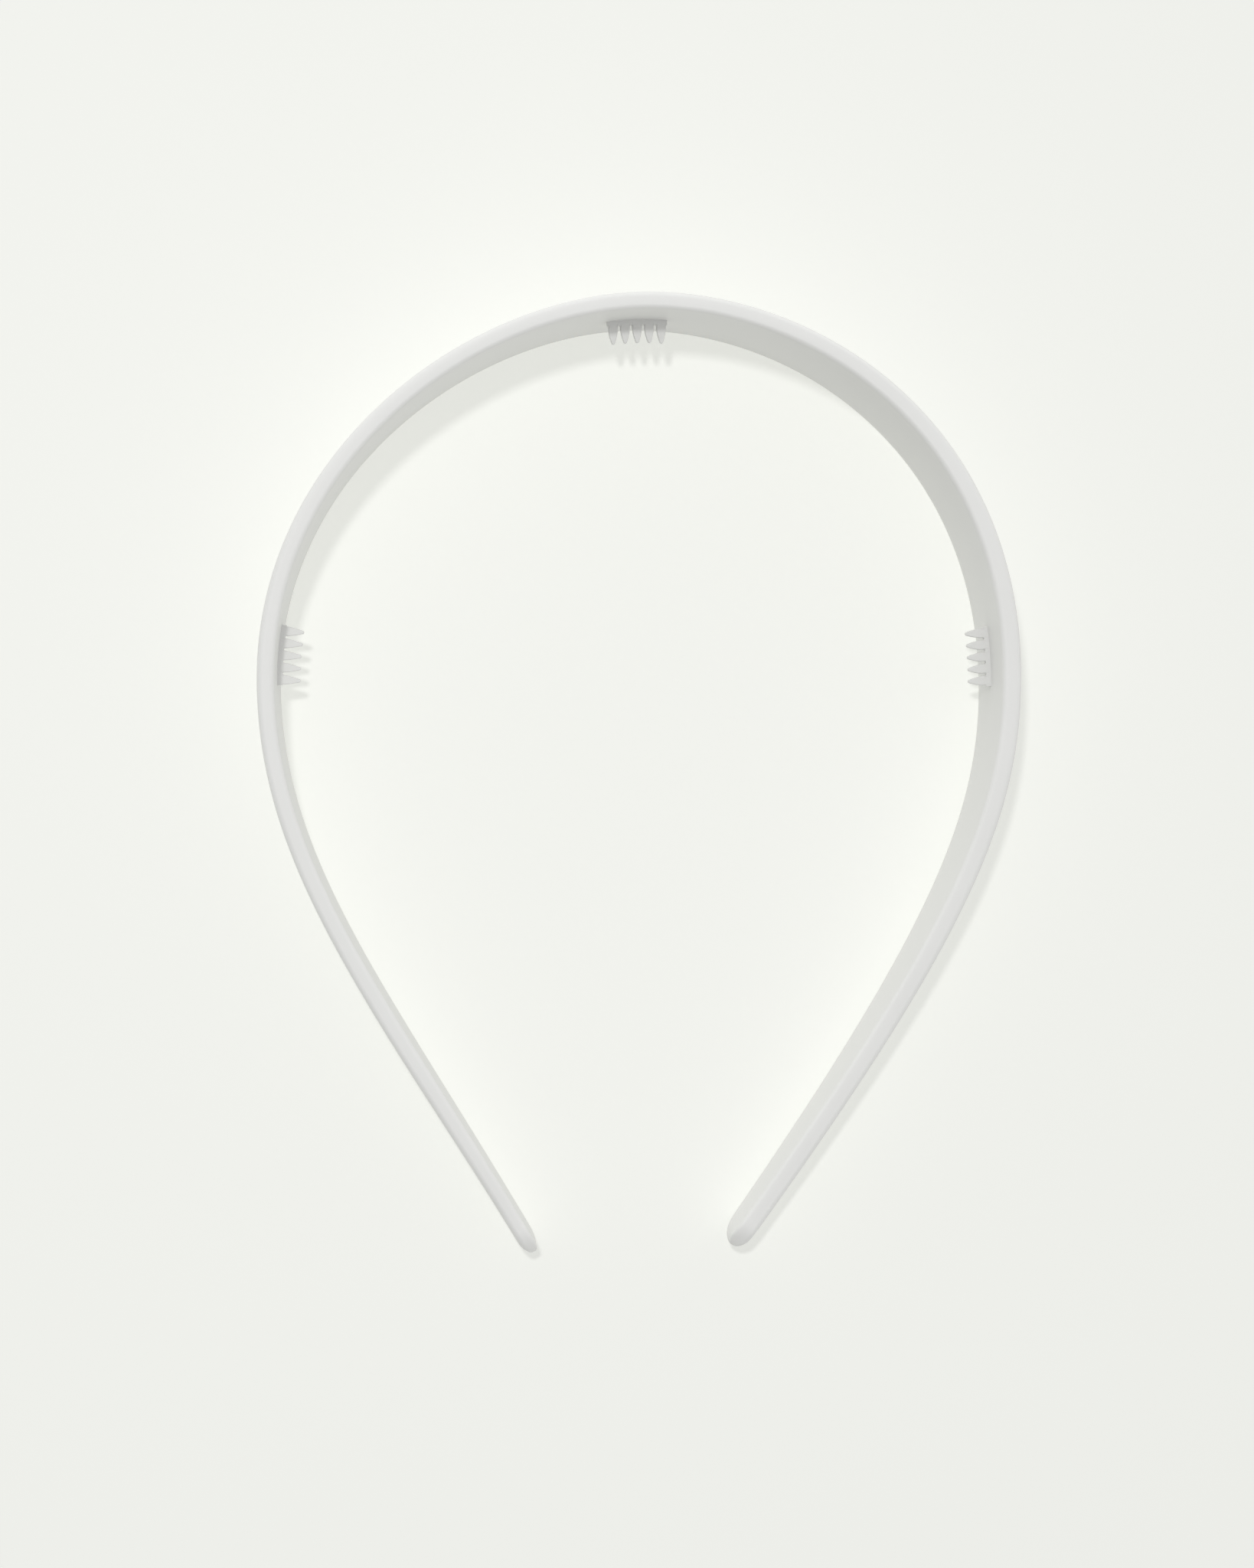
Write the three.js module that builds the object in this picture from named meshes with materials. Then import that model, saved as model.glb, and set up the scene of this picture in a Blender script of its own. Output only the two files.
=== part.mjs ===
// A wide plastic headband, lying on its lower edge, in millimetres. The crown points towards +Y, the two tips
// towards -Y, and +Z is up. The origin is on the floor, in the middle of the footprint.
import * as THREE from "three";

// The line of the band's inner wall, seen from above
const INSIDE_WIDTH = 119.2; // between the inner walls, where the band is widest
const CROWN_TO_SIDE = { left: 59.9, right: 60.9 }; // from the crown's wall down to the widest place
const CROWN_TO_TIP = { left: 154.8, right: 153.5 };
const TIP_GAP = 30.7; // between the inner walls of the two tips
const CROWN_OFFSET = 1.2; // the top of the arch lies this far right of the middle
const TIP_SPLAY = { left: 30.8, right: 35 }; // degrees between each tip and the band's middle line

// Reaches of the line's curve handles: at the crown a share of half the inside width, at the shoulder a share of
// the drop from crown to side, and at the flank and the leg a share of the drop from side to tip.
const HANDLES = {
  left: { crown: 0.451, shoulder: 0.598, flank: 0.321, leg: 0.534 },
  right: { crown: 0.451, shoulder: 0.673, flank: 0.232, leg: 0.672 },
};

// The band's cross-section
const CROWN_HEIGHT = 28; // the headband's width over the head, which stands upright here
const TIP_HEIGHT = 9.6;
const CROWN_THICKNESS = 2.75; // at the edges
const SIDE_THICKNESS = { left: 2.8, right: 3.15 };
const TIP_THICKNESS = { left: 2.4, right: 3.1 };
const EVEN_LEG_SHARE = 0.55; // how much of each leg keeps the side's thickness
const OUTER_BULGE = 0.5; // the outer face is crowned, this much thicker in its middle
const INNER_ROUND = 0.7; // edge radii
const OUTER_ROUND = 0.9;
const TIP_ROUND = 4.8; // how far the tip's rounded end runs along the band
const TIP_TAPER = 3; // how far from the end the tip narrows, seen from above

// The combs, which lie in the middle of the inner wall
const TOOTH_COUNT = 5;
const TOOTH_PITCH = 2;
const TOOTH_WIDTH = 1.6; // at its root
const TOOTH_LENGTH = 2.8;
const TOOTH_TIP_RADIUS = 0.3;
const STRIP_DEPTH = 0.7; // of the strip that carries the teeth
const COMB_THICKNESS = 1.2;
const COMB_CLEARANCE = 0.3; // between the wall and the strip
const COMB_DROP = { left: 56.2, right: 55.2 }; // from the crown's wall down to the middle of a side comb
const CROWN_COMB_SHIFT = -1.9; // the crown's comb lies this far left of the top of the arch

// Steps of the faceted surfaces
const BAND_STEPS = 92;
const TIP_STEPS = 7;
const INNER_ROUND_STEPS = 2;
const OUTER_ROUND_STEPS = 4;
const OUTER_FACE_STEPS = 6;
const TOOTH_ROUND_STEPS = 5;
const STRIP_STEPS = 8;

const PLASTIC = new THREE.MeshStandardMaterial({ color: 0xe6e6e3, roughness: 0.55, metalness: 0 });
PLASTIC.name = "white_plastic";

const halfWidth = INSIDE_WIDTH / 2;
const longestDrop = Math.max(CROWN_TO_TIP.left, CROWN_TO_TIP.right);
const taper = (CROWN_HEIGHT - TIP_HEIGHT) / 2 / longestDrop; // what each edge gives away per millimetre of drop

// One side of the wall's line, from the crown to the tip. The crown's wall is at y = 0.
function sideCurves(side) {
  const outward = side === "left" ? -1 : 1;
  const reach = HANDLES[side];
  const splay = THREE.MathUtils.degToRad(TIP_SPLAY[side]);
  const legDrop = CROWN_TO_TIP[side] - CROWN_TO_SIDE[side];
  const crown = new THREE.Vector2(CROWN_OFFSET, 0);
  const widest = new THREE.Vector2(outward * halfWidth, -CROWN_TO_SIDE[side]);
  const tip = new THREE.Vector2((outward * TIP_GAP) / 2, -CROWN_TO_TIP[side]);
  const crownHandle = crown.clone().add(new THREE.Vector2(outward * reach.crown * halfWidth, 0));
  const shoulderHandle = widest.clone().add(new THREE.Vector2(0, reach.shoulder * CROWN_TO_SIDE[side]));
  const flankHandle = widest.clone().add(new THREE.Vector2(0, -reach.flank * legDrop));
  const alongLeg = new THREE.Vector2(outward * Math.sin(splay), Math.cos(splay));
  const legHandle = tip.clone().addScaledVector(alongLeg, reach.leg * legDrop);
  return [
    new THREE.CubicBezierCurve(crown, crownHandle, shoulderHandle, widest),
    new THREE.CubicBezierCurve(widest, flankHandle, legHandle, tip),
  ];
}

// The same curve, run from its end to its start.
function reversed(curve) {
  return new THREE.CubicBezierCurve(curve.v3, curve.v2, curve.v1, curve.v0);
}

// The whole line, from the left tip over the crown to the right tip.
function wallLine() {
  const [leftArch, leftLeg] = sideCurves("left");
  const line = new THREE.CurvePath();
  [reversed(leftLeg), reversed(leftArch), ...sideCurves("right")].forEach((curve) => line.add(curve));
  return line;
}

const wall = wallLine();
const wallLength = wall.getLength();
const sideLengths = wall.getCurveLengths();
const crownStation = sideLengths[1];
const widestStations = [sideLengths[0], sideLengths[2]];

// A point beside the wall's line: along the line, and inward from it.
function besideWall(along, inward) {
  const share = THREE.MathUtils.clamp(along / wallLength, 0, 1);
  const tangent = wall.getTangent(share);
  return wall.getPoint(share).add(new THREE.Vector2(tangent.y, -tangent.x).multiplyScalar(inward));
}

// Half of the band's height at this level on the Y axis. Both edges are straight, so each lies in one plane.
function halfHeight(y) {
  return CROWN_HEIGHT / 2 + taper * y;
}

// The edge thickness along the line, eased from tip to side to crown.
function edgeThickness(along) {
  const side = along < crownStation ? "left" : "right";
  const widest = side === "left" ? widestStations[0] : widestStations[1];
  const tipStation = side === "left" ? 0 : wallLength;
  const above = (along - widest) * (crownStation - widest) > 0;
  const end = above ? crownStation : tipStation;
  const endThickness = above ? CROWN_THICKNESS : TIP_THICKNESS[side];
  const fromSide = Math.abs(along - widest) / Math.abs(end - widest);
  const share = THREE.MathUtils.smoothstep(fromSide, above ? 0 : EVEN_LEG_SHARE, 1);
  return THREE.MathUtils.lerp(SIDE_THICKNESS[side], endThickness, share);
}

// How much of its full size the section keeps this far from the end, where the rounding runs for a given reach.
function roundedShare(fromEnd, reach) {
  const inside = THREE.MathUtils.clamp(1 - fromEnd / reach, 0, 1);
  return Math.sqrt(1 - inside * inside);
}

// The outline of one section, anticlockwise from the lower inner edge. Each point has its distance outward from
// the wall, its level as a share of the half height, and how far it lies towards the middle from there.
function sectionOutline(thickness) {
  const outerRound = Math.min(OUTER_ROUND, 0.7 * thickness);
  const innerRound = Math.min(INNER_ROUND, 0.8 * (thickness - outerRound));
  const points = [];
  const quarter = (centre, radius, level, start, steps) => {
    for (let i = 0; i <= steps; i++) {
      const angle = start + (i / steps) * (Math.PI / 2);
      const inset = radius - radius * Math.abs(Math.sin(angle));
      points.push({ out: centre + radius * Math.cos(angle), level, inset });
    }
  };
  quarter(innerRound, innerRound, -1, Math.PI, INNER_ROUND_STEPS);
  quarter(thickness - outerRound, outerRound, -1, 1.5 * Math.PI, OUTER_ROUND_STEPS);
  for (let i = 1; i < OUTER_FACE_STEPS; i++) {
    const level = (2 * i) / OUTER_FACE_STEPS - 1;
    const bulge = OUTER_BULGE * (1 - level * level);
    points.push({ out: thickness + bulge, level, inset: outerRound * Math.abs(level) });
  }
  quarter(thickness - outerRound, outerRound, 1, 0, OUTER_ROUND_STEPS);
  quarter(innerRound, innerRound, 1, Math.PI / 2, INNER_ROUND_STEPS);
  points.push({ out: 0, level: 0, inset: 0 });
  return points;
}

// One ring of the band's surface.
function bandRing(along) {
  const fromEnd = Math.min(along, wallLength - along);
  const thickness = edgeThickness(along);
  const slim = roundedShare(fromEnd, TIP_TAPER);
  const low = roundedShare(fromEnd, TIP_ROUND);
  return sectionOutline(thickness).map(({ out, level, inset }) => {
    const core = thickness / 2;
    const point = besideWall(along, -(core + (out - core) * slim));
    const up = level * halfHeight(point.y) - Math.sign(level) * inset;
    return new THREE.Vector3(point.x, point.y, up * low);
  });
}

// Places along the line: close together round each tip, and even between them.
function bandStations() {
  const tip = [];
  for (let i = 1; i <= TIP_STEPS; i++) tip.push(TIP_ROUND * (1 - Math.cos((i / TIP_STEPS) * (Math.PI / 2))));
  const even = [];
  const evenLength = wallLength - 2 * TIP_ROUND;
  for (let i = 1; i < BAND_STEPS; i++) even.push(TIP_ROUND + (evenLength * i) / BAND_STEPS);
  return [...tip, ...even, ...tip.map((along) => wallLength - along).reverse()];
}

// A closed surface through rings of equal point count, with a point at each end.
function closedLoft(rings, firstPole, lastPole) {
  const count = rings[0].length;
  const positions = [...rings.flat(), firstPole, lastPole].flatMap((p) => [p.x, p.y, p.z]);
  const firstIndex = rings.length * count;
  const index = [];
  for (let j = 0; j < count; j++) {
    const next = (j + 1) % count;
    for (let i = 0; i < rings.length - 1; i++) {
      const a = i * count + j;
      const b = i * count + next;
      index.push(a, b, b + count, a, b + count, a + count);
    }
    const last = (rings.length - 1) * count;
    index.push(firstIndex, next, j);
    index.push(firstIndex + 1, last + j, last + next);
  }
  const geometry = new THREE.BufferGeometry();
  geometry.setAttribute("position", new THREE.Float32BufferAttribute(positions, 3));
  geometry.setIndex(index);
  geometry.computeVertexNormals();
  return geometry;
}

function bandGeometry() {
  const pole = (along, side) => {
    const point = besideWall(along, -TIP_THICKNESS[side] / 2);
    return new THREE.Vector3(point.x, point.y, 0);
  };
  return closedLoft(bandStations().map(bandRing), pole(0, "left"), pole(wallLength, "right"));
}

// The outline of a comb, as distances along the wall and inward from it: the strip, then its teeth.
function combOutline() {
  const valleyRadius = (TOOTH_PITCH - TOOTH_WIDTH) / 2;
  const halfLength = ((TOOTH_COUNT - 1) * TOOTH_PITCH + TOOTH_WIDTH) / 2;
  const root = COMB_CLEARANCE + STRIP_DEPTH;
  const tipCentre = root + TOOTH_LENGTH - TOOTH_TIP_RADIUS;
  const lean = Math.atan2(TOOTH_WIDTH / 2 - TOOTH_TIP_RADIUS, TOOTH_LENGTH - TOOTH_TIP_RADIUS);
  const points = [];
  for (let i = 0; i <= STRIP_STEPS; i++) {
    points.push(new THREE.Vector2(-halfLength + (2 * halfLength * i) / STRIP_STEPS, COMB_CLEARANCE));
  }
  const arc = (x, y, radius, start, end) => {
    for (let i = 0; i <= TOOTH_ROUND_STEPS; i++) {
      const angle = THREE.MathUtils.lerp(start, end, i / TOOTH_ROUND_STEPS);
      points.push(new THREE.Vector2(x + radius * Math.cos(angle), y + radius * Math.sin(angle)));
    }
  };
  for (let tooth = TOOTH_COUNT - 1; tooth >= 0; tooth--) {
    const centre = (tooth - (TOOTH_COUNT - 1) / 2) * TOOTH_PITCH;
    if (tooth === TOOTH_COUNT - 1) points.push(new THREE.Vector2(halfLength, root));
    arc(centre, tipCentre, TOOTH_TIP_RADIUS, lean, Math.PI - lean);
    if (tooth > 0) arc(centre - TOOTH_PITCH / 2, root, valleyRadius, 0, -Math.PI);
  }
  points.push(new THREE.Vector2(-halfLength, root));
  return points;
}

// A comb whose middle lies at this place along the wall. Its strip bends with the wall, and its teeth all point
// the way that the wall's middle one does.
function combGeometry(along) {
  const inward = besideWall(along, 1).sub(besideWall(along, 0));
  const outline = combOutline().map((p) => besideWall(along + p.x, 0).addScaledVector(inward, p.y));
  const geometry = new THREE.ExtrudeGeometry(new THREE.Shape(outline), {
    depth: COMB_THICKNESS,
    bevelEnabled: false,
  });
  geometry.translate(0, 0, -COMB_THICKNESS / 2);
  return geometry;
}

// The place along one side's arch that lies this far below the crown's wall.
function stationAtDrop(side, drop) {
  const direction = side === "left" ? -1 : 1;
  const archLength = Math.abs(widestStations[side === "left" ? 0 : 1] - crownStation);
  let low = 0;
  let high = archLength;
  for (let i = 0; i < 40; i++) {
    const trial = (low + high) / 2;
    if (-besideWall(crownStation + direction * trial, 0).y < drop) low = trial;
    else high = trial;
  }
  return crownStation + direction * low;
}

function namedMesh(name, geometry) {
  const mesh = new THREE.Mesh(geometry, PLASTIC);
  mesh.name = name;
  return mesh;
}

// Drawn upright about its middle plane, then laid down on its lower edge.
const headband = new THREE.Group();
headband.add(namedMesh("band", bandGeometry()));
headband.add(namedMesh("comb_crown", combGeometry(crownStation + CROWN_COMB_SHIFT)));
headband.add(namedMesh("comb_left", combGeometry(stationAtDrop("left", COMB_DROP.left))));
headband.add(namedMesh("comb_right", combGeometry(stationAtDrop("right", COMB_DROP.right))));
headband.rotation.x = Math.atan(taper);
headband.updateMatrixWorld(true);
const footprint = new THREE.Box3().setFromObject(headband, true);
const centre = footprint.getCenter(new THREE.Vector3());
headband.position.set(-centre.x, -centre.y, -footprint.min.z);

const part = new THREE.Group();
part.add(headband);

export default part;
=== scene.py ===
"""A wide plastic headband that lies on its lower edge.

The file makes the band and its combs, their finish, the light and the camera.
Everything is in metres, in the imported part's frame: +Y towards the crown, +X towards the right leg, +Z up.
"""

import logging
import math
from dataclasses import dataclass, field
from enum import Enum

import bmesh
import bpy
import numpy as np
from mathutils import Matrix, Vector

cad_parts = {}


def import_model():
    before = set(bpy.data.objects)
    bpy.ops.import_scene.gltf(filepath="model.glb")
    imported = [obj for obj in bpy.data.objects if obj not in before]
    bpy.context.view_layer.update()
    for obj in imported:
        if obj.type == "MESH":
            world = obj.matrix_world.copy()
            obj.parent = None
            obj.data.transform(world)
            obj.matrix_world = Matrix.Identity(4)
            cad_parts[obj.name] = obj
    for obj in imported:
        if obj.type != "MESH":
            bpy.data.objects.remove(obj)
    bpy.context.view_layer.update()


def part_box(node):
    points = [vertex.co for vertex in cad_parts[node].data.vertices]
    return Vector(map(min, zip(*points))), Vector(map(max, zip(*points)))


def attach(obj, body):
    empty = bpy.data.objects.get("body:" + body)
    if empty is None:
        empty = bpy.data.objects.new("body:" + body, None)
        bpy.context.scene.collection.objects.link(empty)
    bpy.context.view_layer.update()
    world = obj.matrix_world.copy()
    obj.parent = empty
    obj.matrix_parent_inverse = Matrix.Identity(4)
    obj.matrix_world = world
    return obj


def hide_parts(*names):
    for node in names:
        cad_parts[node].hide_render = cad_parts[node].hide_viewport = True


LOG = logging.getLogger("headband")
MILLIMETRE = 0.001
MERGE_REACH = 1e-7  # points nearer than this are one point


class Side(Enum):
    """The two legs of the band, by the sign of their X."""

    LEFT = -1
    RIGHT = 1


class Term:
    """A number in a node tree, which adds its Math nodes as it is used in an expression."""

    def __init__(self, graph: "Graph", socket: bpy.types.NodeSocket) -> None:
        """Wraps one socket.

        Args:
            graph: The tree that the socket belongs to.
            socket: The output that carries the number.
        """
        self.graph = graph
        self.socket = socket

    def __add__(self, other: "Term | float") -> "Term":
        """Adds another number."""
        return self.graph.maths("ADD", self, other)

    def __radd__(self, other: float) -> "Term":
        """Is added to a number."""
        return self.graph.maths("ADD", other, self)

    def __sub__(self, other: "Term | float") -> "Term":
        """Takes another number away."""
        return self.graph.maths("SUBTRACT", self, other)

    def __rsub__(self, other: float) -> "Term":
        """Is taken away from a number."""
        return self.graph.maths("SUBTRACT", other, self)

    def __mul__(self, other: "Term | float") -> "Term":
        """Multiplies by another number."""
        return self.graph.maths("MULTIPLY", self, other)

    def __rmul__(self, other: float) -> "Term":
        """Multiplies a number."""
        return self.graph.maths("MULTIPLY", other, self)

    def __truediv__(self, other: "Term | float") -> "Term":
        """Divides by another number."""
        return self.graph.maths("DIVIDE", self, other)

    def sign(self) -> "Term":
        """Gives -1, 0 or 1."""
        return self.graph.maths("SIGN", self)


class Graph:
    """A node tree under construction, for shaders and for geometry."""

    def __init__(self, tree: bpy.types.NodeTree) -> None:
        """Starts on a tree.

        Args:
            tree: The tree that the nodes go into.
        """
        self.tree = tree

    def node(self, kind: str, settings: dict | None = None, inputs: dict | None = None) -> bpy.types.Node:
        """Adds one node.

        Args:
            kind: The node's type name.
            settings: Its properties, which are set first.
            inputs: Values, sockets or terms by the name or number of the input.

        Returns:
            The new node.
        """
        node = self.tree.nodes.new(kind)
        for name, value in (settings or {}).items():
            setattr(node, name, value)
        for key, value in (inputs or {}).items():
            self.feed(node.inputs[key], value)
        return node

    def feed(self, socket: bpy.types.NodeSocket, value: object) -> None:
        """Links or sets one input.

        Args:
            socket: The input.
            value: A term, an output socket or a plain value.
        """
        source = value.socket if isinstance(value, Term) else value
        if isinstance(source, bpy.types.NodeSocket):
            self.tree.links.new(source, socket)
        else:
            socket.default_value = source

    def term(
        self, kind: str, output: str, settings: dict | None = None, inputs: dict | None = None
    ) -> Term:
        """Adds one node and wraps one of its outputs.

        Args:
            kind: The node's type name.
            output: The name of the output.
            settings: Its properties.
            inputs: Its inputs.

        Returns:
            The output as a term.
        """
        return Term(self, self.node(kind, settings, inputs).outputs[output])

    def maths(self, operation: str, *values: Term | float) -> Term:
        """Adds a Math node.

        Args:
            operation: What it does.
            values: Its inputs, in order.

        Returns:
            The result.
        """
        inputs = dict(enumerate(values))
        return self.term("ShaderNodeMath", "Value", {"operation": operation}, inputs)

    def arrow(self, operation: str, *values: object) -> bpy.types.NodeSocket:
        """Adds a Vector Math node that gives a vector.

        Args:
            operation: What it does.
            values: Its vector inputs, in order. The last one of SCALE is its factor.

        Returns:
            The output socket.
        """
        if operation == "SCALE":
            inputs = {0: values[0], "Scale": values[1]}
        else:
            inputs = dict(enumerate(values))
        return self.node("ShaderNodeVectorMath", {"operation": operation}, inputs).outputs["Vector"]


class ShapeRecipe(Graph):
    """A Geometry Nodes tree with named inputs, which is run on one object and leaves a plain mesh."""

    def __init__(self, name: str) -> None:
        """Makes an empty tree with a geometry input and output.

        Args:
            name: The tree's name.
        """
        super().__init__(bpy.data.node_groups.new(name, "GeometryNodeTree"))
        sockets = self.tree.interface
        sockets.new_socket(name="Geometry", in_out="INPUT", socket_type="NodeSocketGeometry")
        sockets.new_socket(name="Geometry", in_out="OUTPUT", socket_type="NodeSocketGeometry")
        self.entry = self.node("NodeGroupInput")
        self.values: dict[str, object] = {}

    def size(self, name: str, kind: str, value: object) -> bpy.types.NodeSocket:
        """Adds a named input.

        Args:
            name: What the size is called.
            kind: The socket's type, such as Float.
            value: What the modifier is given for it.

        Returns:
            The socket that carries it inside the tree.
        """
        item = self.tree.interface.new_socket(name=name, in_out="INPUT", socket_type="NodeSocket" + kind)
        self.values[item.identifier] = value
        return self.entry.outputs[name]

    def number(self, name: str, value: float) -> Term:
        """Adds a named number, as a term.

        Args:
            name: What the size is called.
            value: The size.

        Returns:
            The number inside the tree.
        """
        return Term(self, self.size(name, "Float", value))

    def attribute(self, name: str) -> Term:
        """Reads a number that the points carry.

        Args:
            name: The attribute's name.

        Returns:
            The number.
        """
        kind = "GeometryNodeInputNamedAttribute"
        return self.term(kind, "Attribute", {"data_type": "FLOAT"}, {"Name": name})

    def arrow_attribute(self, name: str) -> bpy.types.NodeSocket:
        """Reads a vector that the points carry.

        Args:
            name: The attribute's name.

        Returns:
            The output socket.
        """
        node = self.node("GeometryNodeInputNamedAttribute", {"data_type": "FLOAT_VECTOR"}, {"Name": name})
        return node.outputs["Attribute"]

    def close(self, geometry: bpy.types.NodeSocket, material: bpy.types.Material) -> None:
        """Ends the tree: joins doubled points, realizes the copies and sets the material.

        Args:
            geometry: What the tree has made.
            material: The finish.
        """
        real = self.node("GeometryNodeRealizeInstances", None, {"Geometry": geometry})
        close_by = {0: real.outputs[0], "Distance": MERGE_REACH}
        merged = self.node("GeometryNodeMergeByDistance", None, close_by)
        smooth = self.node("GeometryNodeSetShadeSmooth", None, {0: merged.outputs[0]})
        paint = self.size("Finish", "Material", material)
        plain = {"Geometry": smooth.outputs[0], "Material": paint}
        dressed = self.node("GeometryNodeSetMaterial", None, plain)
        self.node("NodeGroupOutput", None, {"Geometry": dressed.outputs[0]})

    def run(self, name: str, seed: bpy.types.Object) -> bpy.types.Object:
        """Runs the tree on an object and makes a plain piece of the result.

        Args:
            name: The piece's name.
            seed: The object that the tree starts from, which is removed.

        Returns:
            The finished piece, at the origin.
        """
        modifier = seed.modifiers.new(self.tree.name, "NODES")
        modifier.node_group = self.tree
        for identifier, value in self.values.items():
            modifier[identifier] = value
        graph = bpy.context.evaluated_depsgraph_get()
        mesh = bpy.data.meshes.new_from_object(seed.evaluated_get(graph), depsgraph=graph)
        seed.modifiers.remove(modifier)
        bpy.data.objects.remove(seed)
        return shown_object(name, mesh)


def shown_object(name: str, mesh: bpy.types.Mesh) -> bpy.types.Object:
    """Puts a mesh into the scene, at the origin.

    Args:
        name: The object's name.
        mesh: Its mesh.

    Returns:
        The object.
    """
    mesh.name = name
    piece = bpy.data.objects.new(name, mesh)
    bpy.context.collection.objects.link(piece)
    return piece


def line_object(name: str, points: list[Vector], closed: bool = False) -> bpy.types.Object:
    """Makes a mesh of edges through some points.

    Args:
        name: The object's name.
        points: The points, in order.
        closed: Whether the last point joins the first.

    Returns:
        The object.
    """
    edges = [(i, i + 1) for i in range(len(points) - 1)]
    if closed:
        edges.append((len(points) - 1, 0))
    mesh = bpy.data.meshes.new(name)
    mesh.from_pydata([tuple(point) for point in points], edges, [])
    return shown_object(name, mesh)


def carry(mesh: bpy.types.Mesh, name: str, values: list) -> None:
    """Gives each point of a mesh a number or a vector of its own.

    Args:
        mesh: The mesh.
        name: The attribute's name.
        values: One number or vector for each point.
    """
    if isinstance(values[0], Vector):
        layer = mesh.attributes.new(name, "FLOAT_VECTOR", "POINT")
        layer.data.foreach_set("vector", [part for value in values for part in value])
    else:
        layer = mesh.attributes.new(name, "FLOAT", "POINT")
        layer.data.foreach_set("value", values)


def tidy_faces(piece: bpy.types.Object) -> None:
    """Closes the open ends of a piece and turns its faces outward.

    Args:
        piece: The piece, which is one closed body afterwards.
    """
    shape = bmesh.new()
    shape.from_mesh(piece.data)
    rims = [edge for edge in shape.edges if edge.is_boundary]
    if rims:
        bmesh.ops.holes_fill(shape, edges=rims, sides=0)
    bmesh.ops.recalc_face_normals(shape, faces=shape.faces)
    shape.to_mesh(piece.data)
    shape.free()


@dataclass(frozen=True)
class Reach:
    """How far the handles of one leg's curve reach, as in the part's source."""

    crown: float  # share of half the inside width
    shoulder: float  # share of the drop from crown to side
    flank: float  # shares of the drop from side to tip
    leg: float


@dataclass(frozen=True)
class LegShape:
    """One leg of the wall's line."""

    to_side: float  # from the crown's wall down to the widest place
    to_tip: float
    splay: float  # degrees between the tip and the band's middle line
    side_thickness: float  # of the edge at the widest place
    tip_thickness: float
    reach: Reach


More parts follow.
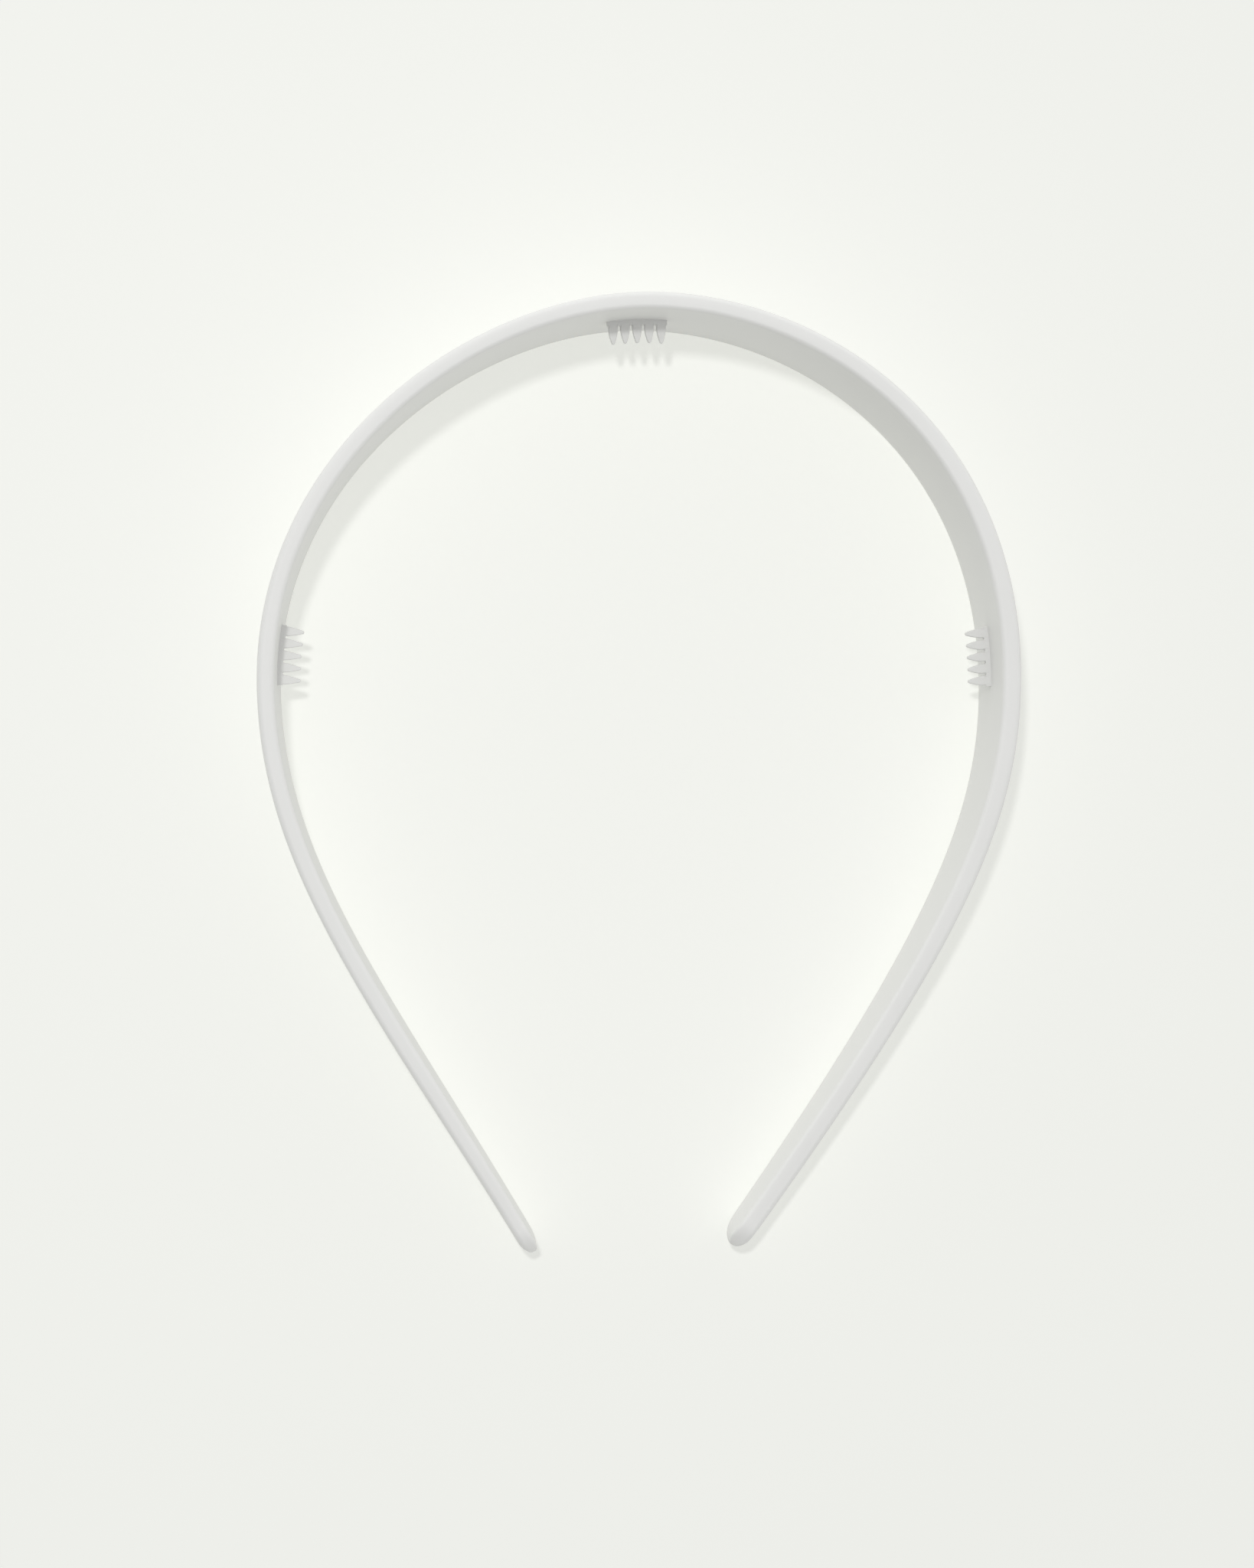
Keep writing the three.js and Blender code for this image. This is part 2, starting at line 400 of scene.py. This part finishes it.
@dataclass
class WallLine:
    """The line of the band's inner wall, from the left tip over the crown to the right tip."""

    inside_width: float = 0.1192
    tip_gap: float = 0.0307
    crown_offset: float = 0.0012
    legs: dict[Side, LegShape] = field(
        default_factory=lambda: {
            Side.LEFT: LegShape(
                to_side=0.0599,
                to_tip=0.1548,
                splay=30.8,
                side_thickness=0.0028,
                tip_thickness=0.0024,
                reach=Reach(crown=0.451, shoulder=0.598, flank=0.321, leg=0.534),
            ),
            Side.RIGHT: LegShape(
                to_side=0.0609,
                to_tip=0.1535,
                splay=35,
                side_thickness=0.00315,
                tip_thickness=0.0031,
                reach=Reach(crown=0.451, shoulder=0.673, flank=0.232, leg=0.672),
            ),
        }
    )
    samples: int = 1500  # along each of the four curves
    look_ahead: float = 0.0002  # how far the line is followed each way to find its direction
    halvings: int = 40  # steps of the search for a place

    def __post_init__(self) -> None:
        """Lays out the four curves and measures them."""
        left_arch, left_leg = self.side_curves(Side.LEFT)
        right_arch, right_leg = self.side_curves(Side.RIGHT)
        curves = [left_leg[::-1], left_arch[::-1], right_arch, right_leg]
        share = np.linspace(0, 1, self.samples + 1)
        stretches = [self.bezier(curve, share) for curve in curves]
        self.points = np.vstack([stretches[0]] + [stretch[1:] for stretch in stretches[1:]])
        steps = np.linalg.norm(np.diff(self.points, axis=0), axis=1)
        self.along = np.concatenate([[0], np.cumsum(steps)])
        self.length = float(self.along[-1])
        self.left_widest, self.crown, self.right_widest = (
            float(self.along[self.samples * count]) for count in (1, 2, 3)
        )

    def side_curves(self, side: Side) -> tuple[np.ndarray, np.ndarray]:
        """Gives the arch and the leg of one side, each as four Bezier points.

        Args:
            side: Which leg.

        Returns:
            The arch, from the crown to the widest place, and the leg, from there to the tip.
        """
        leg = self.legs[side]
        out = side.value
        half = self.inside_width / 2
        splay = math.radians(leg.splay)
        drop = leg.to_tip - leg.to_side
        crown = np.array([self.crown_offset, 0])
        widest = np.array([out * half, -leg.to_side])
        tip = np.array([out * self.tip_gap / 2, -leg.to_tip])
        arch = [
            crown,
            crown + np.array([out * leg.reach.crown * half, 0]),
            widest + np.array([0, leg.reach.shoulder * leg.to_side]),
            widest,
        ]
        lower = [
            widest,
            widest - np.array([0, leg.reach.flank * drop]),
            tip + leg.reach.leg * drop * np.array([out * math.sin(splay), math.cos(splay)]),
            tip,
        ]
        return np.array(arch), np.array(lower)

    @staticmethod
    def bezier(handles: np.ndarray, share: np.ndarray) -> np.ndarray:
        """Gives points on a cubic Bezier curve.

        Args:
            handles: Its four points.
            share: Where on the curve, from 0 to 1.

        Returns:
            One point a row.
        """
        t = share[:, None]
        rest = 1 - t
        parts = (rest**3, 3 * rest**2 * t, 3 * rest * t**2, t**3)
        return sum(part * handle for part, handle in zip(parts, handles))

    def point(self, along: float) -> Vector:
        """Gives the point at a place along the line.

        Args:
            along: The place, measured from the left tip.

        Returns:
            The point, in the drawing's frame.
        """
        x = np.interp(along, self.along, self.points[:, 0])
        y = np.interp(along, self.along, self.points[:, 1])
        return Vector((x, y, 0))

    def inward(self, along: float) -> Vector:
        """Gives the direction from the wall towards the hollow.

        Args:
            along: The place, measured from the left tip.

        Returns:
            The direction there, of length 1.
        """
        ahead = self.point(min(along + self.look_ahead, self.length))
        behind = self.point(max(along - self.look_ahead, 0))
        way = (ahead - behind).normalized()
        return Vector((way.y, -way.x, 0))

    def at_drop(self, side: Side, drop: float) -> float:
        """Finds a place on one side's arch.

        Args:
            side: Which leg.
            drop: How far the place lies below the crown's wall.

        Returns:
            The place along the line.
        """
        widest = self.left_widest if side is Side.LEFT else self.right_widest
        near, far = self.crown, widest
        for _ in range(self.halvings):
            trial = (near + far) / 2
            if -self.point(trial).y < drop:
                near = trial
            else:
                far = trial
        return near


@dataclass
class Band:
    """The moulded band, which replaces the frame's node of that name."""

    wall: WallLine
    crown_height: float = 0.027989
    tip_height: float = 0.0096
    crown_thickness: float = 0.00275
    even_leg_share: float = 0.55  # how much of each leg keeps the side's thickness
    outer_bulge: float = 0.000445
    inner_round: float = 0.0007
    outer_round: float = 0.0009
    tip_round: float = 0.0048
    tip_taper: float = 0.003
    stations: int = 640
    tip_stations: int = 18
    inner_round_steps: int = 6
    outer_round_steps: int = 10
    face_steps: int = 20

    @property
    def taper(self) -> float:
        """What each edge gives away for each metre of drop."""
        drop = max(leg.to_tip for leg in self.wall.legs.values())
        return (self.crown_height - self.tip_height) / 2 / drop

    def thickness(self, along: float) -> float:
        """Gives the edge thickness, eased from tip to side to crown.

        Args:
            along: A place along the wall's line.

        Returns:
            The thickness there.
        """
        wall = self.wall
        left = along < wall.crown
        leg = wall.legs[Side.LEFT if left else Side.RIGHT]
        widest = wall.left_widest if left else wall.right_widest
        above = (along - widest) * (wall.crown - widest) > 0
        end = wall.crown if above else (0 if left else wall.length)
        target = self.crown_thickness if above else leg.tip_thickness
        start = 0 if above else self.even_leg_share
        share = (abs(along - widest) / abs(end - widest) - start) / (1 - start)
        share = min(max(share, 0), 1)
        eased = share * share * (3 - 2 * share)
        return leg.side_thickness + (target - leg.side_thickness) * eased

    @staticmethod
    def rounded(from_end: float, reach: float) -> float:
        """Gives how much of its size the section keeps near a tip.

        Args:
            from_end: How far the section lies from the tip.
            reach: How far from the tip the rounding begins.

        Returns:
            The share, from 0 at the tip to 1.
        """
        inside = min(max(1 - from_end / reach, 0), 1)
        return math.sqrt(1 - inside * inside)

    def places(self) -> list[float]:
        """Gives the places along the line that get a ring, close together round the tips.

        Returns:
            The places, from the left tip to the right tip.
        """
        reach = self.tip_round
        quarter = math.pi / 2
        tip = [reach * (1 - math.cos(i / self.tip_stations * quarter)) for i in range(self.tip_stations)]
        even = list(np.linspace(reach, self.wall.length - reach, self.stations))
        return tip + even + [self.wall.length - place for place in reversed(tip)]

    def rail(self) -> bpy.types.Object:
        """Makes the line that the section runs along, with what the section needs at each place.

        Returns:
            A line object in the drawing's frame.
        """
        places = self.places()
        rail = line_object("band_rail", [self.wall.point(place) for place in places])
        ends = [min(place, self.wall.length - place) for place in places]
        thick = [self.thickness(place) for place in places]
        carry(rail.data, "rail_place", [self.wall.point(place) for place in places])
        carry(rail.data, "outward", [-self.wall.inward(place) for place in places])
        carry(rail.data, "thickness", thick)
        carry(rail.data, "slim", [self.rounded(end, self.tip_taper) for end in ends])
        carry(rail.data, "low", [self.rounded(end, self.tip_round) for end in ends])
        return rail

    def section(self) -> bpy.types.Object:
        """Makes the section's outline, anticlockwise from the lower inner edge.

        Each point carries its level as a share of the half height, how far it lies towards the middle
        from there, what share of the thickness it lies outward, and what is added to that.

        Returns:
            A closed line object.
        """
        rows: list[tuple[float, float, float, float]] = []

        def quarter(
            share: float, centre: float, radius: float, level: float, start: float, steps: int
        ) -> None:
            """Adds a quarter circle.

            Args:
                share: Which share of the thickness its centre lies outward.
                centre: What is added to that.
                radius: Its radius.
                level: -1 for the lower edge and 1 for the upper one.
                start: Its first angle.
                steps: How many faces it has.
            """
            for i in range(steps + 1):
                angle = start + i / steps * math.pi / 2
                inset = radius - radius * abs(math.sin(angle))
                rows.append((level, inset, share, centre + radius * math.cos(angle)))

        inner, outer = self.inner_round, self.outer_round
        quarter(0, inner, inner, -1, math.pi, self.inner_round_steps)
        quarter(1, -outer, outer, -1, 1.5 * math.pi, self.outer_round_steps)
        for i in range(1, self.face_steps):
            level = 2 * i / self.face_steps - 1
            rows.append((level, outer * abs(level), 1, self.outer_bulge * (1 - level * level)))
        quarter(1, -outer, outer, 1, 0, self.outer_round_steps)
        quarter(0, inner, inner, 1, math.pi / 2, self.inner_round_steps)
        for i in range(1, self.face_steps):
            level = 1 - 2 * i / self.face_steps
            rows.append((level, inner * abs(level), 0, 0))
        turns = [i * 2 * math.pi / len(rows) for i in range(len(rows))]
        points = [Vector((math.cos(turn), math.sin(turn), 0)) * MILLIMETRE for turn in turns]
        outline = line_object("band_section", points, closed=True)
        for name, column in zip(("level", "inset", "share", "added"), zip(*rows)):
            carry(outline.data, name, list(column))
        return outline

    def recipe(self, section: bpy.types.Object, material: bpy.types.Material) -> ShapeRecipe:
        """Writes the tree that runs the section along the rail.

        Args:
            section: The section's outline.
            material: The finish.

        Returns:
            The tree, ready to run on the rail.
        """
        recipe = ShapeRecipe("band_along_wall")
        outline = recipe.size("Section", "Object", section)
        half_crown = recipe.number("Half height at the crown", self.crown_height / 2)
        taper = recipe.number("Taper", self.taper)
        rail = recipe.node("GeometryNodeMeshToCurve", None, {0: recipe.entry.outputs["Geometry"]})
        found = recipe.node("GeometryNodeObjectInfo", None, {"Object": outline})
        profile = recipe.node("GeometryNodeMeshToCurve", None, {0: found.outputs["Geometry"]})
        swept = recipe.node(
            "GeometryNodeCurveToMesh", None, {"Curve": rail.outputs[0], "Profile Curve": profile.outputs[0]}
        )
        thickness = recipe.attribute("thickness")
        level = recipe.attribute("level")
        out = recipe.attribute("share") * thickness + recipe.attribute("added")
        core = thickness / 2
        slimmed = core + (out - core) * recipe.attribute("slim")
        offset = recipe.arrow("SCALE", recipe.arrow_attribute("outward"), slimmed)
        place = recipe.arrow("ADD", recipe.arrow_attribute("rail_place"), offset)
        split = recipe.node("ShaderNodeSeparateXYZ", None, {0: place})
        half = half_crown + taper * Term(recipe, split.outputs["Y"])
        up = (level * half - level.sign() * recipe.attribute("inset")) * recipe.attribute("low")
        spot = {"X": split.outputs["X"], "Y": split.outputs["Y"], "Z": up}
        lifted = recipe.node("ShaderNodeCombineXYZ", None, spot)
        moved = recipe.node(
            "GeometryNodeSetPosition", None, {"Geometry": swept.outputs[0], "Position": lifted.outputs[0]}
        )
        recipe.close(moved.outputs[0], material)
        return recipe

    def build(self, material: bpy.types.Material) -> bpy.types.Object:
        """Makes the band, in the drawing's frame.

        Args:
            material: The finish.

        Returns:
            The band as one closed mesh.
        """
        section = self.section()
        band = self.recipe(section, material).run("wide_band", self.rail())
        bpy.data.objects.remove(section)
        tidy_faces(band)
        return band


@dataclass
class Comb:
    """One of the small combs on the inner wall, which replaces the node of its name."""

    wall: WallLine
    node: str
    along: float  # where its middle lies on the wall's line
    teeth: int = 5
    pitch: float = 0.002
    tooth_width: float = 0.0016
    tooth_length: float = 0.0028
    tip_radius: float = 0.0003
    strip_depth: float = 0.0007
    clearance: float = 0.0003
    flank_angle: float = 20  # degrees between a tooth's flank and its middle line, at the tip
    sunk: float = 0.0001  # how deep the strip's back lies in the wall, which it is moulded onto
    thickness: float = 0.0012
    edge_round: float = 0.00012
    flat_margin: float = 0.00003  # a narrow flat beside a rounded edge, which keeps its shading even
    arc_steps: int = 10
    flank_steps: int = 10
    edge_steps: int = 4

    def front(self) -> list[tuple[Vector, Vector]]:
        """Gives the front of one tooth, from the middle of a valley to the middle of the next.

        Returns:
            Each point with its outward direction, as distances along the wall and inward from it.
        """
        root = self.clearance + self.strip_depth
        valley = (self.pitch - self.tooth_width) / 2
        lean = math.radians(self.flank_angle)
        valley_centre = Vector((-self.pitch / 2, root))
        tip_centre = Vector((0, root + self.tooth_length - self.tip_radius))
        rows = []
        for i in range(self.arc_steps + 1):
            angle = (i / self.arc_steps - 1) * math.pi / 2
            way = Vector((math.cos(angle), math.sin(angle)))
            rows.append((valley_centre + way * valley, -way))
        start = Vector((-self.tooth_width / 2, root))
        along_end = Vector((math.sin(lean), math.cos(lean)))
        end = tip_centre + Vector((-math.cos(lean), math.sin(lean))) * self.tip_radius
        handle = end - along_end * ((end.x - start.x) / along_end.x)
        for i in range(1, self.flank_steps):
            share = i / self.flank_steps
            near, far = start.lerp(handle, share), handle.lerp(end, share)
            run = (far - near).normalized()
            rows.append((near.lerp(far, share), Vector((-run.y, run.x))))
        for i in range(self.arc_steps + 1):
            angle = math.pi - lean + (i / self.arc_steps) * (lean - math.pi / 2)
            way = Vector((math.cos(angle), math.sin(angle)))
            rows.append((tip_centre + way * self.tip_radius, way))
        mirrored = [(Vector((-place.x, place.y)), Vector((-way.x, way.y))) for place, way in reversed(rows)]
        return rows + mirrored[1:]

    def tooth(self) -> bpy.types.Object:
        """Makes one tooth with its share of the strip, open at its two sides.

        Returns:
            An object whose X runs along the wall and whose Y runs inward.
        """
        half = self.thickness / 2
        back = -self.sunk
        rings = []
        for place, way in self.front():
            lower = [(self.edge_round + self.flat_margin, -half)]
            for i in range(self.edge_steps + 1):
                angle = i / self.edge_steps * math.pi / 2
                drop = self.edge_round * (1 - math.sin(angle))
                lower.append((drop, self.edge_round * (1 - math.cos(angle)) - half))
            outline = lower + [(inset, -z) for inset, z in reversed(lower)]
            ring = [(place.x, back, -half), (place.x, back + self.flat_margin, -half)]
            ring += [(place.x - way.x * inset, place.y - way.y * inset, z) for inset, z in outline]
            ring += [(place.x, back + self.flat_margin, half), (place.x, back, half)]
            rings.append(ring)
        count = len(rings[0])
        faces = []
        for i in range(len(rings) - 1):
            for j in range(count):
                after = (j + 1) % count
                near, far = i * count, (i + 1) * count
                faces.append((near + j, near + after, far + after, far + j))
        mesh = bpy.data.meshes.new(self.node + "_tooth")
        mesh.from_pydata([point for ring in rings for point in ring], [], faces)
        return shown_object(self.node + "_tooth", mesh)

    def recipe(self, material: bpy.types.Material, line: bpy.types.Object) -> ShapeRecipe:
        """Writes the tree that sets the teeth in a row and bends the row along the wall.

        Args:
            material: The finish.
            line: The wall's line.

        Returns:
            The tree, ready to run on one tooth.
        """
        recipe = ShapeRecipe(self.node + "_row")
        count = recipe.size("Teeth", "Int", self.teeth)
        pitch = recipe.number("Pitch", self.pitch)
        middle = recipe.number("Place on the wall", self.along)
        inward = recipe.size("Inward", "Vector", tuple(self.wall.inward(self.along)))
        wall = recipe.size("Wall", "Object", line)
        first = (1 - Term(recipe, count)) * pitch / 2
        start = recipe.node("ShaderNodeCombineXYZ", None, {"X": first})
        step = recipe.node("ShaderNodeCombineXYZ", None, {"X": pitch})
        row = recipe.node(
            "GeometryNodeMeshLine",
            {"mode": "OFFSET"},
            {"Count": count, "Start Location": start.outputs[0], "Offset": step.outputs[0]},
        )
        copies = recipe.node(
            "GeometryNodeInstanceOnPoints",
            None,
            {"Points": row.outputs[0], "Instance": recipe.entry.outputs["Geometry"]},
        )
        real = recipe.node("GeometryNodeRealizeInstances", None, {"Geometry": copies.outputs[0]})
        found = recipe.node("GeometryNodeObjectInfo", None, {"Object": wall})
        path = recipe.node("GeometryNodeMeshToCurve", None, {0: found.outputs["Geometry"]})
        place = recipe.node("GeometryNodeInputPosition")
        split = recipe.node("ShaderNodeSeparateXYZ", None, {0: place.outputs[0]})
        along = middle + Term(recipe, split.outputs["X"])
        sampled = recipe.node(
            "GeometryNodeSampleCurve",
            {"mode": "LENGTH"},
            {"Curves": path.outputs[0], "Length": along},
        )
        reach = recipe.arrow("SCALE", inward, split.outputs["Y"])
        raised = recipe.node("ShaderNodeCombineXYZ", None, {"Z": split.outputs["Z"]})
        flat = recipe.arrow("ADD", sampled.outputs["Position"], reach)
        bent = recipe.arrow("ADD", flat, raised.outputs[0])
        laid = {"Geometry": real.outputs[0], "Position": bent}
        moved = recipe.node("GeometryNodeSetPosition", None, laid)
        recipe.close(moved.outputs[0], material)
        return recipe

    def build(self, material: bpy.types.Material, line: bpy.types.Object) -> bpy.types.Object:
        """Makes the comb, in the drawing's frame.

        Args:
            material: The finish.
            line: The wall's line.

        Returns:
            The comb as one closed mesh.
        """
        comb = self.recipe(material, line).run(self.node + "_teeth", self.tooth())
        tidy_faces(comb)
        return comb


@dataclass(frozen=True)
class MouldedPlastic:
    """Plain white plastic with a fine, matte moulded grain."""

    colour: tuple[float, float, float] = (0.76, 0.76, 0.745)
    shade: tuple[float, float, float] = (0.72, 0.722, 0.705)
    roughness: float = 0.5
    roughness_spread: float = 0.12
    cloud_size: float = 0.014
    ripple_size: float = 0.005
    grain_size: float = 0.00035
    cloud_in_colour: float = 0.7  # shares of the large patches, against the fine grain
    cloud_in_roughness: float = 0.6
    ripple_depth: float = 0.00001
    grain_depth: float = 0.000006

    def noise(self, graph: Graph, size: float, detail: float) -> Term:
        """Adds a noise of one size.

        Args:
            graph: The material's tree.
            size: How large its patches are.
            detail: How many finer layers it has.

        Returns:
            Its value, about 0.5.
        """
        where = graph.node("ShaderNodeTexCoord").outputs["Object"]
        inputs = {"Vector": where, "Scale": 1 / size, "Detail": detail, "Roughness": 0.5}
        return graph.term("ShaderNodeTexNoise", "Fac", None, inputs)

    def build(self, name: str) -> bpy.types.Material:
        """Makes the material.

        Args:
            name: Its name.

        Returns:
            The material.
        """
        material = bpy.data.materials.new(name)
        material.use_nodes = True
        graph = Graph(material.node_tree)
        graph.tree.nodes.clear()
        cloud = self.noise(graph, self.cloud_size, 2)
        ripple = self.noise(graph, self.ripple_size, 1)
        grain = self.noise(graph, self.grain_size, 2)
        blend = cloud * self.cloud_in_colour + grain * (1 - self.cloud_in_colour)
        mottle = graph.node(
            "ShaderNodeMix",
            {"data_type": "RGBA"},
            {"Factor": blend, "A": (*self.shade, 1), "B": (*self.colour, 1)},
        )
        uneven = cloud * self.cloud_in_roughness + grain * (1 - self.cloud_in_roughness)
        rough = self.roughness + (uneven - 0.5) * (2 * self.roughness_spread)
        height = ripple * self.ripple_depth + grain * self.grain_depth
        bump = graph.node("ShaderNodeBump", None, {"Strength": 1, "Distance": 1, "Height": height})
        shader = graph.node(
            "ShaderNodeBsdfPrincipled",
            None,
            {
                "Base Color": mottle.outputs["Result"],
                "Roughness": rough,
                "Normal": bump.outputs["Normal"],
                "IOR": 1.49,
            },
        )
        graph.node("ShaderNodeOutputMaterial", None, {"Surface": shader.outputs[0]})
        return material


@dataclass(frozen=True)
class LitTable:
    """The plain pale top of a light table, matt and lit from within, so that shadows stay light."""

    colour: tuple[float, float, float] = (0.72, 0.7265, 0.694)
    glow: tuple[float, float, float] = (0.4145, 0.419, 0.4)

    def build(self, name: str) -> bpy.types.Material:
        """Makes the material.

        Args:
            name: Its name.

        Returns:
            The material.
        """
        material = bpy.data.materials.new(name)
        material.use_nodes = True
        graph = Graph(material.node_tree)
        graph.tree.nodes.clear()
        matt = graph.node("ShaderNodeBsdfDiffuse", None, {"Color": (*self.colour, 1)})
        glow = graph.node("ShaderNodeEmission", None, {"Color": (*self.glow, 1), "Strength": 1})
        both = graph.node("ShaderNodeAddShader", None, {0: matt.outputs[0], 1: glow.outputs[0]})
        graph.node("ShaderNodeOutputMaterial", None, {"Surface": both.outputs[0]})
        return material


@dataclass(frozen=True)
class FillLight:
    """A very broad, distant light that softens the shade on the object."""

    name: str
    strength: float
    bearing: float  # degrees from +X, anticlockwise
    tilt: float  # degrees from overhead
    breadth: float = 60  # degrees across

    def build(self, lit: bpy.types.Collection) -> None:
        """Adds the light to the scene.

        Args:
            lit: What it shines on.
        """
        lamp = bpy.data.lights.new(self.name, "SUN")
        lamp.energy = self.strength
        lamp.angle = math.radians(self.breadth)
        light = bpy.data.objects.new(self.name, lamp)
        tilt, bearing = math.radians(self.tilt), math.radians(self.bearing)
        side = math.sin(tilt)
        way = Vector((side * math.cos(bearing), side * math.sin(bearing), math.cos(tilt)))
        light.rotation_euler = way.to_track_quat("Z", "Y").to_euler()
        light.location = way
        light.light_linking.receiver_collection = lit
        bpy.context.collection.objects.link(light)


@dataclass(frozen=True)
class KeyLight:
    """A small round softbox above the object, towards the upper left, which casts the shadows."""

    power: float = 0.98
    place: tuple[float, float, float] = (-0.1065, 0.1265, 0.651)
    across: float = 0.049

    def build(self) -> None:
        """Adds the light to the scene, turned to the origin."""
        lamp = bpy.data.lights.new("key_light", "AREA")
        lamp.shape = "DISK"
        lamp.size = self.across
        lamp.energy = self.power
        light = bpy.data.objects.new("key_light", lamp)
        light.rotation_euler = Vector(self.place).to_track_quat("Z", "Y").to_euler()
        light.location = self.place
        bpy.context.collection.objects.link(light)


@dataclass
class Headband:
    """The whole object: the band and its three combs."""

    wall: WallLine = field(default_factory=WallLine)
    side_comb_drops: dict[Side, float] = field(
        default_factory=lambda: {Side.LEFT: 0.0562, Side.RIGHT: 0.0552}
    )
    crown_comb_shift: float = -0.0019

    def __post_init__(self) -> None:
        """Sets out the band and the combs."""
        self.band = Band(self.wall)
        left = self.wall.at_drop(Side.LEFT, self.side_comb_drops[Side.LEFT])
        right = self.wall.at_drop(Side.RIGHT, self.side_comb_drops[Side.RIGHT])
        self.combs = [
            Comb(self.wall, "comb_crown", self.wall.crown + self.crown_comb_shift),
            Comb(self.wall, "comb_left", left, flank_angle=14),
            Comb(self.wall, "comb_right", right),
        ]

    def lie_down(self, pieces: dict[str, bpy.types.Object]) -> None:
        """Lays the pieces from the drawing's frame onto the floor, where the frame's band lies.

        Args:
            pieces: The piece that replaces each node.
        """
        turn = Matrix.Rotation(math.atan(self.band.taper), 4, "X")
        for piece in pieces.values():
            piece.data.transform(turn)
        drawn = [vertex.co for vertex in pieces["band"].data.vertices]
        low = Vector(min(point[axis] for point in drawn) for axis in range(3))
        high = Vector(max(point[axis] for point in drawn) for axis in range(3))
        frame_low, frame_high = (Vector(corner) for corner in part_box("band"))
        shift = (frame_low + frame_high - low - high) / 2
        shift.z = frame_low.z - low.z
        for piece in pieces.values():
            piece.data.transform(Matrix.Translation(shift))
        excess = ((high - low) - (frame_high - frame_low)) / MILLIMETRE
        LOG.info("band is larger than the frame's by %.3f, %.3f and %.3f mm", *excess)

    def build(self) -> list[bpy.types.Object]:
        """Makes every piece, lays it down and ties it to the frame.

        Returns:
            The pieces.
        """
        plastic = MouldedPlastic().build("moulded_white_plastic")
        line = line_object("wall_line", [Vector((x, y, 0)) for x, y in self.wall.points])
        pieces = {"band": self.band.build(plastic)}
        for comb in self.combs:
            pieces[comb.node] = comb.build(plastic, line)
        bpy.data.objects.remove(line)
        self.lie_down(pieces)
        for node, piece in pieces.items():
            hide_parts(node)
            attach(piece, "root")
            LOG.info("%s replaces %s, %d faces", piece.name, node, len(piece.data.polygons))
        return list(pieces.values())


@dataclass
class Studio:
    """The floor, the light and the camera."""

    floor_size: float = 6
    sky_colour: tuple[float, float, float] = (1, 1, 1)
    sky_strength: float = 0.4275
    key: KeyLight = KeyLight()
    fills: tuple[FillLight, ...] = (
        FillLight("fill_overhead", strength=0.305, bearing=90, tilt=1),
        FillLight("fill_top", strength=0.566, bearing=90, tilt=65),
        FillLight("fill_upper_left", strength=0.703, bearing=135, tilt=65),
        FillLight("fill_upper_right", strength=0.386, bearing=45, tilt=65),
        FillLight("fill_lower_right", strength=0.457, bearing=315, tilt=65),
    )
    camera_place: tuple[float, float, float] = (-0.034775, -0.01355, 0.4624)
    camera_aim: tuple[float, float, float] = (-0.001075, -0.00085, 0)
    camera_roll: float = -0.29  # degrees
    lens: float = 62.5

    def floor(self) -> None:
        """Lays a plain pale floor under the object."""
        half = self.floor_size / 2
        corners = [(-half, -half, 0), (half, -half, 0), (half, half, 0), (-half, half, 0)]
        mesh = bpy.data.meshes.new("floor")
        mesh.from_pydata(corners, [], [(0, 1, 2, 3)])
        mesh.materials.append(LitTable().build("pale_floor"))
        shown_object("floor", mesh)

    def light(self, lit: bpy.types.Collection) -> None:
        """Sets an even pale sky, the key light and the fills.

        Args:
            lit: What the fills shine on.
        """
        world = bpy.data.worlds.new("studio_sky")
        world.use_nodes = True
        graph = Graph(world.node_tree)
        graph.tree.nodes.clear()
        inputs = {"Color": (*self.sky_colour, 1), "Strength": self.sky_strength}
        sky = graph.node("ShaderNodeBackground", None, inputs)
        graph.node("ShaderNodeOutputWorld", None, {"Surface": sky.outputs[0]})
        bpy.context.scene.world = world
        self.key.build()
        for fill in self.fills:
            fill.build(lit)

    def camera(self) -> None:
        """Sets the camera where the photograph was taken from."""
        optics = bpy.data.cameras.new("camera")
        optics.lens = self.lens
        optics.sensor_fit = "AUTO"
        optics.sensor_width = 36
        optics.clip_start = 0.01
        camera = bpy.data.objects.new("camera", optics)
        place, aim = Vector(self.camera_place), Vector(self.camera_aim)
        ahead = (aim - place).normalized()
        right = ahead.cross(Vector((0, 1, 0))).normalized()
        turn = Matrix((right, right.cross(ahead), -ahead)).transposed()
        roll = Matrix.Rotation(math.radians(self.camera_roll), 3, ahead)
        camera.matrix_world = Matrix.Translation(place) @ (roll @ turn).to_4x4()
        bpy.context.collection.objects.link(camera)
        bpy.context.scene.camera = camera

    def picture(self) -> None:
        """Shows the whites as they are, with no film curve over them."""
        bpy.context.scene.view_settings.view_transform = "Standard"

    def build(self, pieces: list[bpy.types.Object]) -> None:
        """Sets the whole studio.

        Args:
            pieces: What stands in it, which alone the fills light.
        """
        lit = bpy.data.collections.new("lit_by_fills")
        for piece in pieces:
            lit.objects.link(piece)
        self.camera()
        self.picture()
        self.floor()
        self.light(lit)


def main() -> None:
    """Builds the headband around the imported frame."""
    logging.basicConfig(level=logging.INFO, format="%(name)s: %(message)s")
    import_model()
    Studio().build(Headband().build())


if __name__ == "__main__":
    main()
